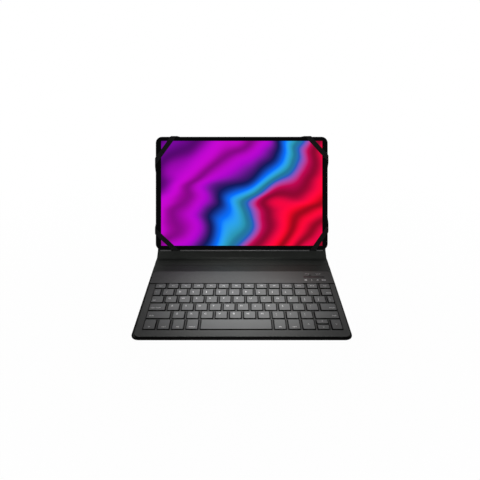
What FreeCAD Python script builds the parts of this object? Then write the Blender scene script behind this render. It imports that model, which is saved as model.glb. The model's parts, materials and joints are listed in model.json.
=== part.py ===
import FreeCAD, Part
import math
import os

# Tablet keyboard case standing open: a folding leather cover, a slim keyboard and a strapped-in tablet.
# Millimetres, +X right, +Y back, +Z up, origin at the middle of the base leaf's underside.

# Leaves of the folding cover
base_side = 3.3
base_rear = 28.8
panel_step = 2.0
panel_above = 1.0
spine_depth = 18.5
leaf_corner = 9.0
skin = 0.7
board = 0.8
lining = 0.5
hem = 1.2
fold_half = 4.0
lean = 26.0

# Kickstand on the back panel
kick_width = 150.0
kick_slope = 68.5
kick_corner = 6.0
kick_skin = 0.5
kick_hinge_height = 100.0
kick_gap = 0.4
kick_strip = 13.0
ribbon_width = 14.0
ribbon_thick = 0.5
ribbon_height = 34.0
ribbon_reach = 68.0
ribbon_end_gap = 0.4

# Keyboard casing
keyboard_margin = 0.4
keyboard_shift = 0.7
keyboard_corner = 7.0
seat_gap = 0.1
tray_height = 2.5
tray_floor = 0.7
tray_wall = 1.2
cover_plate = 1.0
bar_depth = 31.1
bar_rise = 1.2

# Keys
key_side = 6.25
key_shift = 0.6
key_pitch = 17.05
key_row = 16.95
function_row = 13.7
bottom_row = 21.3
front_strip = 10.9
function_count = 14
tilde_pitch = 11.9
backspace_pitch = 16.5
tab_pitch = 17.7
caps_pitch = 23.0
shift_pitch = 31.0
modifier_pitch = 16.5
left_arrow_pitch = 17.0
right_arrow_pitch = 15.0
key_gap = 2.1
key_hole_gap = 0.4
key_rise = 1.2
key_skirt = 0.7
key_roof = 0.9
key_wall = 0.8
key_draft = 0.45

# Key switches
support_thick = 0.3
membrane_thick = 0.25
dome_radius = 2.4
dome_tip = 1.2
scissor_size = 8.2
scissor_bar = 0.8
switch_gap = 0.15
scissor_gap = 0.3

# Screws and magnets
screw_shank = 0.8
screw_head = 1.7
screw_head_height = 0.4
screw_gap = 0.1
screw_length = 1.9
boss_radius = 2.0
boss_gap = 0.05
screw_inset = 14.0
screw_edge = 5.5
catch_size = 8.0
catch_thick = 0.5
catch_inset = 6.6
front_catch_x = 55.0
magnet_radius = 4.0
magnet_gap = 0.2

# Electronics in the bar
bar_room_gap = 1.0
pcb_thick = 0.8
pcb_length = 88.0
battery_length = 96.0
battery_thick = 2.6
electronics_inset = 11.5
boss_row = 4.0
socket_width = 8.0
socket_depth = 6.0
socket_height = 2.4
socket_wall = 0.4
socket_gap = 0.1
socket_inset = 34.0
led_size = 1.4
led_height = 0.6
led_count = 4
led_pitch = 7.2
indicator_x = 97.6
indicator_back = 15.1
indicator_length = 28.0
indicator_depth = 2.0
light_pipe = 0.9
control_back = 10.6
switch_x = 89.1
switch_length = 4.0
switch_depth = 1.8
switch_travel = 3.0
switch_flange = 0.6
switch_proud = 0.3
button_x = 104.1
button_length = 6.0
button_depth = 2.0
button_travel = 0.4
control_gap = 0.15

# Tablet
tablet_width = 251.8
tablet_height = 165.7
tablet_thick = 6.8
tablet_corner = 9.0
tablet_rise = 14.2
tablet_back_gap = 1.1
tablet_wall = 1.2
tablet_floor = 0.8
glass_thick = 0.7
glass_inset = 0.5
display_side = 7.6
display_end = 5.75
display_thick = 1.4
tablet_battery_width = 130.0
tablet_battery_height = 96.0
tablet_battery_thick = 3.2
tablet_board_width = 46.0
tablet_board_thick = 1.5
tablet_inner_gap = 8.0

# Straps and ledge that hold the tablet
strap_width = 7.0
strap_thick = 0.8
strap_gap = 0.3
strap_tail = 20.0
tail_thick = 0.5
strap_reach = {
    "top_left": (26.0, 36.0),
    "top_right": (28.5, 31.5),
    "bottom_left": (29.0, 27.0),
    "bottom_right": (21.5, 31.0),
}
ledge_width = 238.0
ledge_thick = 1.4
ledge_depth = 7.5
ledge_gap = 0.3

# Places worked out from the sizes
key_block = tilde_pitch + 12 * key_pitch + backspace_pitch
keyboard_width = key_block + 2 * key_side
keyboard_depth = front_strip + bottom_row + 4 * key_row + function_row + bar_depth
base_width = keyboard_width + 2 * base_side
base_depth = keyboard_margin + keyboard_depth + base_rear
panel_width = base_width - 2 * panel_step
panel_length = tablet_rise + tablet_height + panel_above
leaf_thick = skin + board + lining
fold_thick = skin + lining
base_front = -base_depth / 2
fold_a = base_depth / 2
fold_b = fold_a + spine_depth
fold_z = skin / 2
panel_place = FreeCAD.Placement(
    FreeCAD.Vector(0, fold_b, fold_z), FreeCAD.Rotation(FreeCAD.Vector(1, 0, 0), 90 - lean))
panel_outer = -skin / 2
panel_inner = panel_outer + leaf_thick
kick_thick = 2 * kick_skin + board
kick_pivot = panel_place.multVec(
    FreeCAD.Vector(0, kick_hinge_height, panel_outer - kick_gap - kick_thick / 2))
kick_drop = kick_pivot.z - kick_thick / 2 * math.cos(math.radians(kick_slope))
kick_length = kick_drop / math.sin(math.radians(kick_slope))
kick_swing = 90 + lean - kick_slope
kick_place = FreeCAD.Placement(kick_pivot, FreeCAD.Rotation(FreeCAD.Vector(1, 0, 0), -kick_slope))
keyboard_front = base_front + keyboard_margin
keyboard_back = keyboard_front + keyboard_depth
bar_front = keyboard_back - bar_depth
keyboard_low = leaf_thick + seat_gap
floor_top = keyboard_low + tray_floor
tray_top = keyboard_low + tray_height
plate_top = tray_top + cover_plate
bar_top = plate_top + bar_rise
bar_ceiling = bar_top - cover_plate
half_keyboard = keyboard_width / 2
support_top = floor_top + support_thick
membrane_top = support_top + membrane_thick
key_top = plate_top + key_rise
key_low = plate_top - key_skirt
key_ceiling = key_top - key_roof
key_travel = key_low - membrane_top - 2 * switch_gap
pcb_top = floor_top + pcb_thick
pcb_right = half_keyboard - tray_wall - electronics_inset
battery_left = -pcb_right
bar_room_front = bar_front + boss_row + boss_radius + bar_room_gap
bar_room_back = keyboard_back - tray_wall - bar_room_gap
socket_x = pcb_right - socket_inset
socket_back = keyboard_back - tray_wall - socket_gap
socket_low = floor_top + socket_gap
tablet_back = panel_inner + tablet_back_gap
tablet_front = tablet_back + tablet_thick
tablet_low = tablet_rise
tablet_high = tablet_rise + tablet_height
half_tablet = tablet_width / 2


def box(x, y, z):
    """Solid between the two limits given for each axis."""
    return Part.makeBox(x[1] - x[0], y[1] - y[0], z[1] - z[0], FreeCAD.Vector(x[0], y[0], z[0]))


def slab(x, y, z, front=0.0, back=0.0):
    """Flat plate with its own corner radius at the low-Y end and at the high-Y end."""
    solid = box(x, y, z)
    for radius, end in ((front, y[0]), (back, y[1])):
        if radius > 0:
            corners = [edge for edge in solid.Edges
                       if abs(edge.CenterOfMass.y - end) < 1e-6
                       and abs(edge.tangentAt(edge.FirstParameter).z) > 0.9]
            solid = solid.makeFillet(radius, corners)
    return solid


def grown(span, by):
    return (span[0] - by, span[1] + by)


def centred(middle, size):
    return (middle - size / 2, middle + size / 2)


def prism(outline, half_width):
    """Outline in the Y-Z plane, drawn out across the width."""
    points = [FreeCAD.Vector(-half_width, y, z) for y, z in outline]
    face = Part.Face(Part.makePolygon(points + points[:1]))
    return face.extrude(FreeCAD.Vector(2 * half_width, 0, 0))


def placed(shape, place):
    moved = shape.copy()
    moved.Placement = place.multiply(moved.Placement)
    return moved


def frustum(x, y, z, draft):
    """Block whose four sides lean in by the draft towards the top."""
    wedge = Part.makeWedge(
        x[0], z[0], -y[1], -y[1] + draft, x[0] + draft, x[1], z[1], -y[0], -y[0] - draft, x[1] - draft)
    wedge.rotate(FreeCAD.Vector(0, 0, 0), FreeCAD.Vector(1, 0, 0), 90)
    return wedge


def cover_leaf(width, y, free_end_low):
    """Outer cover with its rolled hem, the stiff board and the lining of one leaf, outer face at Z = 0."""
    x = centred(0, width)
    corners = (leaf_corner, 0.0) if free_end_low else (0.0, leaf_corner)
    inner_corners = [max(radius - hem, 0.0) for radius in corners]
    inner_y = (y[0] + hem, y[1]) if free_end_low else (y[0], y[1] - hem)
    inner_x = grown(x, -hem)
    room = slab(inner_x, inner_y, (skin, leaf_thick), *inner_corners)
    cover = slab(x, y, (0, leaf_thick), *corners).cut(room)
    stiffener = slab(inner_x, inner_y, (skin, skin + board), *inner_corners)
    inside = slab(inner_x, inner_y, (skin + board, leaf_thick), *inner_corners)
    return cover, stiffener, inside


def magnet_spots():
    """Where the keyboard is held to the base: two spots in its front strip, two at the ends of the bar."""
    front_y = keyboard_front + catch_inset
    back_y = (bar_room_front + bar_room_back) / 2
    end_x = half_keyboard - tray_wall - bar_room_gap - catch_size / 2
    return [(-front_catch_x, front_y), (front_catch_x, front_y), (-end_x, back_y), (end_x, back_y)]


def base_leaf():
    cover, stiffener, inside = cover_leaf(base_width, (base_front, fold_a - fold_half), True)
    discs = []
    for x, y in magnet_spots():
        foot = FreeCAD.Vector(x + keyboard_shift, y, skin)
        stiffener = stiffener.cut(Part.makeCylinder(magnet_radius + magnet_gap, board, foot))
        discs.append(Part.makeCylinder(magnet_radius, board, foot))
    return {"base_outer_cover": cover, "base_board": stiffener, "base_lining": inside,
            "base_magnets": Part.makeCompound(discs)}


def spine_leaf():
    x = centred(0, base_width)
    y = (fold_a + fold_half, fold_b - fold_half)
    return {"spine_outer_cover": box(x, y, (0, skin)),
            "spine_board": box(x, y, (skin, skin + board)),
            "spine_lining": box(x, y, (skin + board, leaf_thick))}


def panel_point(along, out):
    """Y and Z of a point on the leaning panel, measured up from the fold and out of the outer cover's middle."""
    point = panel_place.multVec(FreeCAD.Vector(0, along, out))
    return (point.y, point.z)


def fold_hinges():
    """Bare leather across the two folds: flat at the base, bent up at the panel."""
    half = math.radians(90 - lean) / 2
    inner = fold_thick + panel_outer
    bend_out = skin / 2 * math.tan(half)
    bend_in = inner * math.tan(half)
    flat = box(centred(0, base_width), (fold_a - fold_half, fold_a + fold_half), (0, fold_thick))
    bent = [(fold_b - fold_half, 0), (fold_b + bend_out, 0), panel_point(fold_half, panel_outer),
            panel_point(fold_half, inner), (fold_b - bend_in, fold_thick), (fold_b - fold_half, fold_thick)]
    return {"base_fold_hinge": flat, "panel_fold_hinge": prism(bent, panel_width / 2)}


def strap_edge_half(along, down):
    """Half the length that a slanting strap takes up on the tablet's top or bottom edge."""
    return strap_width / 2 * math.hypot(along, down) / down


def tablet_ledge():
    """Lip under the tablet, with gaps where the lower straps pass."""
    high = tablet_low - ledge_gap
    deep = (panel_inner, panel_inner + ledge_depth)
    lip = box(centred(0, ledge_width), (high - ledge_thick, high), deep)
    for name, side in (("bottom_left", -1), ("bottom_right", 1)):
        along, down = strap_reach[name]
        spread = strap_edge_half(along, down) + strap_gap + (strap_gap + strap_thick) * along / down
        middle = side * (half_tablet - along)
        lip = lip.cut(box(centred(middle, 2 * spread), (high - 2 * ledge_thick, high + ledge_gap), deep))
    return lip


def corner_strap(name):
    """Elastic band over one corner of the tablet, round its two edges and back to the lining."""
    along, down = strap_reach[name]
    length = math.hypot(along, down)
    slope = math.degrees(math.atan2(down, along))
    outside = strap_gap + strap_thick
    front_low = tablet_front + strap_gap
    front = (front_low, front_low + strap_thick)
    wall = (panel_inner, front[1])
    tail = (panel_inner, panel_inner + tail_thick)
    reach = along + down

    def band(start, finish, turn, at, deep):
        strip = box((start, finish), centred(0, strap_width), deep)
        strip.rotate(FreeCAD.Vector(0, 0, 0), FreeCAD.Vector(0, 0, 1), turn)
        strip.translate(FreeCAD.Vector(at[0], at[1], 0))
        return strip

    # Corner frame: first axis along the top or bottom edge, second along the side edge, both inwards.
    top_at, side_at = (along, 0), (0, down)
    over = band(-reach, length + reach, 180 - slope, top_at, front)
    over = over.common(box((-outside, reach), (-outside, reach), front))
    edge_wall = band(-reach, reach, 180 - slope, top_at, wall)
    edge_wall = edge_wall.common(box((0, 2 * reach), (-outside, -strap_gap), wall))
    side_wall = band(-reach, reach, 180 - slope, side_at, wall)
    side_wall = side_wall.common(box((-outside, -strap_gap), (0, 2 * reach), wall))
    quadrant = box((-outside, 2 * reach), (-outside, 2 * reach), tail)
    top_tail = band(-strap_width, strap_tail, slope, top_at, tail).common(quadrant)
    side_tail = band(-strap_width, strap_tail, slope, side_at, tail).common(quadrant)
    strap = over.multiFuse([edge_wall, side_wall, top_tail, side_tail]).removeSplitter()
    corner = (half_tablet if name.endswith("right") else -half_tablet,
              tablet_high if name.startswith("top") else tablet_low)
    if name.endswith("right"):
        strap = strap.mirror(FreeCAD.Vector(0, 0, 0), FreeCAD.Vector(1, 0, 0))
    if name.startswith("top"):
        strap = strap.mirror(FreeCAD.Vector(0, 0, 0), FreeCAD.Vector(0, 1, 0))
    strap.translate(FreeCAD.Vector(corner[0], corner[1], 0))
    return strap


def back_panel():
    cover, stiffener, inside = cover_leaf(panel_width, (fold_half, panel_length), False)
    drop = FreeCAD.Vector(0, 0, panel_outer)
    for layer in (cover, stiffener, inside):
        layer.translate(drop)
    strip_low = kick_hinge_height + kick_thick / 2 + kick_gap
    strip = box(centred(0, kick_width), (strip_low, strip_low + kick_strip),
                (panel_outer - kick_skin, panel_outer))
    pieces = {"panel_outer_cover": cover, "panel_board": stiffener, "panel_lining": inside,
              "tablet_ledge": tablet_ledge(), "kickstand_hinge": strip}
    for name in strap_reach:
        pieces["strap_" + name] = corner_strap(name)
    return {node: placed(shape, panel_place) for node, shape in pieces.items()}


def kickstand():
    """Stiff flap from the hinge on the panel down to the table, and the ribbon that stops it opening further."""
    x = centred(0, kick_width)
    y = (0, kick_length)
    low = -kick_thick / 2
    layers = {"kickstand_inner_skin": (low, low + kick_skin),
              "kickstand_board": (low + kick_skin, low + kick_skin + board),
              "kickstand_outer_skin": (low + kick_skin + board, kick_thick / 2)}
    pieces = {node: placed(slab(x, y, z, back=kick_corner), kick_place) for node, z in layers.items()}
    panel_end = panel_place.multVec(FreeCAD.Vector(0, ribbon_height, panel_outer))
    flap_end = kick_place.multVec(FreeCAD.Vector(0, ribbon_reach, low))
    run = flap_end - panel_end
    ribbon = box(centred(0, ribbon_width), (ribbon_end_gap, run.Length - ribbon_end_gap),
                 centred(0, ribbon_thick))
    tilt = math.degrees(math.atan2(run.z, run.y))
    pieces["stay_ribbon"] = placed(
        ribbon, FreeCAD.Placement(panel_end, FreeCAD.Rotation(FreeCAD.Vector(1, 0, 0), tilt)))
    return pieces


def row_cells(names_and_pitches, y):
    """Cells of one row of keys from left to right: (node, X limits, Y limits)."""
    cells = []
    left = key_shift - key_block / 2
    for node, pitch in names_and_pitches:
        cells.append((node, (left, left + pitch), y))
        left += pitch
    return cells


def key_cells():
    """Every key's cell. The last key of a lettered row, and the space bar, take what is left of the row."""
    function_pitch = key_block / function_count
    backslash = key_block - tab_pitch - 12 * key_pitch
    enter = key_block - caps_pitch - 11 * key_pitch
    right_shift = key_block - shift_pitch - 10 * key_pitch
    arrows = left_arrow_pitch + modifier_pitch + right_arrow_pitch
    space = key_block - 6 * modifier_pitch - arrows
    rows = [
        (key_row, [("left_shift_key", shift_pitch)] + [("z_row_keys", key_pitch)] * 10
         + [("right_shift_key", right_shift)]),
        (key_row, [("caps_lock_key", caps_pitch)] + [("a_row_keys", key_pitch)] * 11 + [("enter_key", enter)]),
        (key_row, [("tab_key", tab_pitch)] + [("q_row_keys", key_pitch)] * 12 + [("q_row_keys", backslash)]),
        (key_row, [("number_keys", tilde_pitch)] + [("number_keys", key_pitch)] * 12
         + [("backspace_key", backspace_pitch)]),
        (function_row, [("function_keys", function_pitch)] * function_count),
    ]
    front = keyboard_front + front_strip
    bottom = [("left_modifier_keys", modifier_pitch)] * 4 + [("space_bar", space)]
    bottom += [("right_modifier_keys", modifier_pitch)] * 2 + [("left_arrow_key", left_arrow_pitch)]
    bottom += [("up_arrow_key", modifier_pitch), ("right_arrow_key", right_arrow_pitch)]
    cells = row_cells(bottom, (front, front + bottom_row))
    node, x, (low, high) = next(cell for cell in cells if cell[0] == "up_arrow_key")
    middle = (low + high) / 2
    cells[cells.index((node, x, (low, high)))] = (node, x, (middle, high))
    cells.append(("down_arrow_key", x, (low, middle)))
    front += bottom_row
    for depth, row in rows:
        cells += row_cells(row, (front, front + depth))
        front += depth
    return cells


def key_cap(x, y):
    """Hollow cap with leaning sides."""
    inset = key_gap / 2
    cap = frustum(grown(x, -inset), grown(y, -inset), (key_low, key_top), key_draft)
    hollow = box(grown(x, -inset - key_wall), grown(y, -inset - key_wall), (key_low, key_ceiling))
    return cap.cut(hollow)


def key_switch(x, y):
    """Rubber dome and scissor frame under one key."""
    middle = FreeCAD.Vector(sum(x) / 2, sum(y) / 2, membrane_top)
    height = key_ceiling - switch_gap - membrane_top
    dome = Part.makeCone(dome_radius, dome_tip, height, middle)
    taken = key_gap + 2 * key_wall + 2 * scissor_gap
    outer_x = centred(middle.x, min(scissor_size, x[1] - x[0] - taken))
    outer_y = centred(middle.y, min(scissor_size, y[1] - y[0] - taken))
    deep = (membrane_top, membrane_top + height)
    frame = box(outer_x, outer_y, deep).cut(box(grown(outer_x, -scissor_bar), grown(outer_y, -scissor_bar), deep))
    return dome, frame.cut(Part.makeCylinder(dome_radius + switch_gap, height, middle))


def keys():
    groups, domes, frames = {}, [], []
    for node, x, y in key_cells():
        groups.setdefault(node, []).append(key_cap(x, y))
        dome, frame = key_switch(x, y)
        domes.append(dome)
        frames.append(frame)
    pieces = {node: Part.makeCompound(caps) if len(caps) > 1 else caps[0] for node, caps in groups.items()}
    pieces["rubber_domes"] = Part.makeCompound(domes)
    pieces["scissor_frames"] = Part.makeCompound(frames)
    return pieces


def screw_spots():
    """Screws in the front strip and along the front of the bar, with the ceiling each boss hangs from."""
    end_x = half_keyboard - screw_inset
    front_y = keyboard_front + screw_edge
    back_y = bar_front + boss_row
    return [(x, y, roof) for y, roof in ((front_y, tray_top), (back_y, bar_ceiling)) for x in (-end_x, 0, end_x)]


def control_openings():
    """Openings in the top of the bar for the switch, the button and the indicator window."""
    control_y = keyboard_back - control_back
    through = (bar_ceiling, bar_top)
    switch_x_span = (switch_x - switch_length / 2, switch_x + switch_length / 2 + switch_travel)
    return [
        box(grown(switch_x_span, control_gap), grown(centred(control_y, switch_depth), control_gap), through),
        box(grown(centred(button_x, button_length), control_gap),
            grown(centred(control_y, button_depth), control_gap), through),
        box(grown(centred(indicator_x, indicator_length), control_gap),
            grown(centred(keyboard_back - indicator_back, indicator_depth), control_gap), through),
    ]


def keyboard_casing():
    x = centred(0, keyboard_width)
    y = (keyboard_front, keyboard_back)
    inner = keyboard_corner - tray_wall
    room = slab(grown(x, -tray_wall), grown(y, -tray_wall), (floor_top, tray_top), inner, inner)
    tray = slab(x, y, (keyboard_low, tray_top), keyboard_corner, keyboard_corner).cut(room)
    plate = slab(x, y, (tray_top, plate_top), keyboard_corner, keyboard_corner)
    bar = slab(x, (bar_front, keyboard_back), (tray_top, bar_top), back=keyboard_corner)
    bar_room = slab(grown(x, -tray_wall), (bar_front + cover_plate, keyboard_back - tray_wall),
                    (tray_top, bar_ceiling), back=inner)
    cover = plate.fuse(bar).cut(bar_room).removeSplitter()
    inset = key_gap / 2 - key_hole_gap
    holes = [box(grown(x_span, -inset), grown(y_span, -inset), (tray_top, plate_top))
             for _, x_span, y_span in key_cells()]
    port = box(grown(centred(socket_x, socket_width), socket_gap), (keyboard_back - 2 * tray_wall, keyboard_back),
               (socket_low - socket_gap, socket_low + socket_height + socket_gap))
    cover = cover.cut(Part.makeCompound(holes + control_openings() + [port]))
    tray = tray.cut(port)
    screws = []
    for spot_x, spot_y, roof in screw_spots():
        foot = FreeCAD.Vector(spot_x, spot_y, keyboard_low)
        head = Part.makeCylinder(screw_head, screw_head_height, foot)
        shank_foot = foot + FreeCAD.Vector(0, 0, screw_head_height)
        screws.append(head.fuse(Part.makeCylinder(screw_shank, screw_length, shank_foot)))
        tray = tray.cut(Part.makeCylinder(screw_head + screw_gap, screw_head_height, foot))
        tray = tray.cut(Part.makeCylinder(screw_shank + screw_gap, tray_floor, foot))
        boss_low = floor_top + boss_gap
        boss = Part.makeCylinder(boss_radius, roof - boss_low, FreeCAD.Vector(spot_x, spot_y, boss_low))
        cover = cover.fuse(boss).cut(Part.makeCylinder(screw_shank + screw_gap, screw_length, shank_foot))
    catches = [box(centred(spot_x, catch_size), centred(spot_y, catch_size), (floor_top, floor_top + catch_thick))
               for spot_x, spot_y in magnet_spots()]
    return {"keyboard_bottom_cover": tray, "keyboard_top_cover": cover, "cover_screws": Part.makeCompound(screws),
            "catch_plates": Part.makeCompound(catches)}


def switch_layers():
    """Steel plate and contact membrane under the keys."""
    margin = half_keyboard - tray_wall - bar_room_gap
    x = (-margin, margin)
    y = (keyboard_front + front_strip, bar_front)
    return {"key_support_plate": box(x, y, (floor_top, support_top)),
            "key_membrane": box(x, y, (support_top, membrane_top))}


def bar_electronics():
    y = (bar_room_front, bar_room_back)
    pcb_x = (pcb_right - pcb_length, pcb_right)
    pcb = box(pcb_x, y, (floor_top, pcb_top))
    socket_x_span = centred(socket_x, socket_width)
    socket_y = (socket_back - socket_depth, socket_back)
    socket_z = (socket_low, socket_low + socket_height)
    pcb = pcb.cut(box(grown(socket_x_span, socket_gap), (socket_y[0] - socket_gap, y[1]), (floor_top, pcb_top)))
    shell = box(socket_x_span, socket_y, socket_z).cut(
        box(grown(socket_x_span, -socket_wall), (socket_y[0] + socket_wall, socket_y[1]),
            grown(socket_z, -socket_wall)))
    battery = box((battery_left, battery_left + battery_length), y, (floor_top, floor_top + battery_thick))
    indicator_y = keyboard_back - indicator_back
    window = box(centred(indicator_x, indicator_length), centred(indicator_y, indicator_depth),
                 (bar_ceiling, bar_top))
    leds = []
    for number in range(led_count):
        led_x = indicator_x + (number - (led_count - 1) / 2) * led_pitch
        led_top = pcb_top + led_height
        leds.append(box(centred(led_x, led_size), centred(indicator_y, led_size), (pcb_top, led_top)))
        window = window.fuse(Part.makeCylinder(
            light_pipe, bar_ceiling - led_top - control_gap,
            FreeCAD.Vector(led_x, indicator_y, led_top + control_gap)))
    return {"main_circuit_board": pcb, "charging_socket": shell, "keyboard_battery": battery,
            "indicator_window": window.removeSplitter(), "indicator_leds": Part.makeCompound(leds)}


def bar_controls():
    """Sliding power switch and the pairing button, each held under the bar's top by a flange."""
    control_y = keyboard_back - control_back
    flange = (bar_ceiling - control_gap - switch_flange, bar_ceiling - control_gap)
    knob_x = centred(switch_x, switch_length)
    knob_y = centred(control_y, switch_depth)
    knob = box(knob_x, knob_y, (flange[1], bar_top + switch_proud))
    slider = knob.fuse(box(grown(knob_x, switch_flange), grown(knob_y, switch_flange), flange))
    cap_x = centred(button_x, button_length)
    cap_y = centred(control_y, button_depth)
    cap = box(cap_x, cap_y, (flange[1], bar_top + switch_proud))
    stem = box(centred(button_x, button_depth), cap_y, (pcb_top + button_travel + control_gap, flange[0]))
    pusher = cap.multiFuse([box(grown(cap_x, switch_flange), grown(cap_y, switch_flange), flange), stem])
    return {"power_switch": slider.removeSplitter(), "connect_button": pusher.removeSplitter()}


def tablet():
    x = centred(0, tablet_width)
    y = (tablet_low, tablet_high)
    rim = tablet_front - glass_thick
    inner = tablet_corner - tablet_wall
    room = slab(grown(x, -tablet_wall), grown(y, -tablet_wall), (tablet_back + tablet_floor, rim), inner, inner)
    housing = slab(x, y, (tablet_back, rim), tablet_corner, tablet_corner).cut(room)
    edge = tablet_corner - glass_inset
    glass = slab(grown(x, -glass_inset), grown(y, -glass_inset), (rim, tablet_front), edge, edge)
    display = box(grown(x, -display_side), grown(y, -display_end), (rim - display_thick, rim))
    floor = tablet_back + tablet_floor
    middle_y = sum(y) / 2
    inner_x = grown(x, -tablet_wall - tablet_inner_gap)
    cell_x = (inner_x[0], inner_x[0] + tablet_battery_width)
    cell = box(cell_x, centred(middle_y, tablet_battery_height), (floor, floor + tablet_battery_thick))
    circuit = box((inner_x[1] - tablet_board_width, inner_x[1]), centred(middle_y, tablet_battery_height),
                  (floor, floor + tablet_board_thick))
    pieces = {"tablet_housing": housing, "tablet_glass": glass, "tablet_display": display,
              "tablet_battery": cell, "tablet_circuit_board": circuit}
    return {node: placed(shape, panel_place) for node, shape in pieces.items()}


def keyboard():
    """All the keyboard's pieces, set a little to the right of the base's middle."""
    pieces = {}
    for make in (keyboard_casing, switch_layers, bar_electronics, bar_controls, keys):
        pieces.update(make())
    place = FreeCAD.Placement(FreeCAD.Vector(keyboard_shift, 0, 0), FreeCAD.Rotation())
    return {node: placed(shape, place) for node, shape in pieces.items()}


os.makedirs("parts", exist_ok=True)
nodes = {}
for make in (base_leaf, spine_leaf, fold_hinges, back_panel, kickstand, keyboard, tablet):
    nodes.update(make())
for node, shape in nodes.items():
    shape.exportStep("parts/" + node + ".step")
print(len(nodes), "nodes written")
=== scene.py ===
import bpy
import json
import math
from mathutils import Matrix, Vector


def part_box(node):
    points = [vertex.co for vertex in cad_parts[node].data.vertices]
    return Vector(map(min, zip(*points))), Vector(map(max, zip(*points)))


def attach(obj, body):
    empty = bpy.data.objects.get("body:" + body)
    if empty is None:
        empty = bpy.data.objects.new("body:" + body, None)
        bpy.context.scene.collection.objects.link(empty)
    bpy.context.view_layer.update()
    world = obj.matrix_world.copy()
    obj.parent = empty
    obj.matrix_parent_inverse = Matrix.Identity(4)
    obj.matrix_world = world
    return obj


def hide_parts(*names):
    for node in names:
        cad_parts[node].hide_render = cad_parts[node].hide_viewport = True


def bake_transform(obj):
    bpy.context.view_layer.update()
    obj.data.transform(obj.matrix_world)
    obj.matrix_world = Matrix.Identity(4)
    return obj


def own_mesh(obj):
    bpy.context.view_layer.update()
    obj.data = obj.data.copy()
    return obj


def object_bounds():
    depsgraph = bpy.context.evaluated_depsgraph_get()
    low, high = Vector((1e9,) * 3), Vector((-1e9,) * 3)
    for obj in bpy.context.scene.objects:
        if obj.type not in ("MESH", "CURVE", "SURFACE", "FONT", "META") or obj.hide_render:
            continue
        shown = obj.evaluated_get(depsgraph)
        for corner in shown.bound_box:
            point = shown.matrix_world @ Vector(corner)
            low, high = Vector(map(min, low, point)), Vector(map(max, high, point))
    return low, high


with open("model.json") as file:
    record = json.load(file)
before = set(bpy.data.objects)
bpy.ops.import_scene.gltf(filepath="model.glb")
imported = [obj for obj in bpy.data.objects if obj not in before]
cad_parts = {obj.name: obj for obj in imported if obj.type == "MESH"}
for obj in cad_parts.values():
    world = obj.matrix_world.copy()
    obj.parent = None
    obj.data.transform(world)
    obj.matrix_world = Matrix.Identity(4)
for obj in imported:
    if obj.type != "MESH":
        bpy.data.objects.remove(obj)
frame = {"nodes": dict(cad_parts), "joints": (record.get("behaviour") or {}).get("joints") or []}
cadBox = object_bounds()
nodes = frame["nodes"]
joints = {joint["name"]: joint for joint in frame["joints"]}
mm = 0.001
print("frame loaded:", len(nodes), "nodes")

# Places that the pieces share, read from the frame
foldA = Vector(joints["base_spine_fold"]["pos_m"])
foldB = Vector(joints["back_panel_fold"]["pos_m"])
panelRise = math.radians(joints["back_panel_fold"]["range_deg"][1])
panelFrame = Matrix.Translation(foldB) @ Matrix.Rotation(panelRise, 4, "X")
kickPivot = Vector(joints["kickstand_swing"]["pos_m"])
kickSlope = math.pi - panelRise - math.radians(joints["kickstand_swing"]["range_deg"][1])
kickFrame = Matrix.Translation(kickPivot) @ Matrix.Rotation(-kickSlope, 4, "X")


def spanOf(node, place):  # lowest and highest corner of a node in a frame of its own
    back = place.inverted()
    corners = [back @ vertex.co for vertex in nodes[node].data.vertices]
    low = Vector([min(c[i] for c in corners) for i in range(3)])
    high = Vector([max(c[i] for c in corners) for i in range(3)])
    return low, high


# Small modelling helpers
def nameAs(obj, name):
    obj.name = obj.data.name = name
    return obj


def setAll(target, settings):
    for key, value in settings.items():
        setattr(target, key, value)


def pickOnly(obj):
    bpy.ops.object.select_all(action="DESELECT")
    obj.select_set(True)
    bpy.context.view_layer.objects.active = obj


def edgeEnds(obj):
    spots = [vertex.co for vertex in obj.data.vertices]
    return [[spots[i] for i in edge.vertices] for edge in obj.data.edges]


def editMarked(obj, kind, marks):  # opens a piece with some of its edges or polygons selected
    pickOnly(obj)
    for part in (obj.data.vertices, obj.data.edges, obj.data.polygons):
        part.foreach_set("select", [False] * len(part))
    getattr(obj.data, kind).foreach_set("select", [bool(mark) for mark in marks])
    bpy.context.tool_settings.mesh_select_mode = (False, kind == "edges", kind == "polygons")
    bpy.ops.object.mode_set(mode="EDIT")


def editEdges(obj, test):  # test gets the two ends of an edge
    editMarked(obj, "edges", [test(a, b) for a, b in edgeEnds(obj)])


def editFaces(obj, test):  # test gets a face
    editMarked(obj, "polygons", [test(face) for face in obj.data.polygons])


def editAll(obj):
    pickOnly(obj)
    bpy.ops.object.mode_set(mode="EDIT")
    bpy.ops.mesh.select_all(action="SELECT")


def leaveEdit():
    bpy.ops.object.mode_set(mode="OBJECT")


def bevelEdges(obj, test, width, segments):
    editEdges(obj, test)
    bpy.ops.mesh.bevel(offset=width, segments=segments, affect="EDGES", clamp_overlap=True)
    leaveEdit()


def addShape(add, **settings):
    bpy.ops.object.select_all(action="DESELECT")
    add(**settings)
    return bpy.context.object


def addBlock(name, low, high):
    obj = addShape(bpy.ops.mesh.primitive_cube_add, size=1, location=(low + high) / 2)
    obj.scale = high - low
    bpy.ops.object.transform_apply(location=True, rotation=True, scale=True)
    return nameAs(obj, name)


def settle(obj, place):  # moves a piece to its place and keeps the place in the mesh
    pickOnly(obj)
    obj.matrix_world = place
    bpy.ops.object.transform_apply(location=True, rotation=True, scale=True)
    return obj


def smooth(obj, angle=32):
    pickOnly(obj)
    bpy.ops.object.shade_smooth_by_angle(angle=math.radians(angle))


tight, loose = 1e-6, 1e-5  # slack for levels that are the same
flatFace = 0.9  # least upward share of the normal of a level face


def near(a, b, slack=tight):
    return abs(a - b) < slack


def edgesAt(level, slack=tight):
    return lambda a, b: near(a.z, level, slack) and near(b.z, level, slack)


cornerCuts = 8


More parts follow.
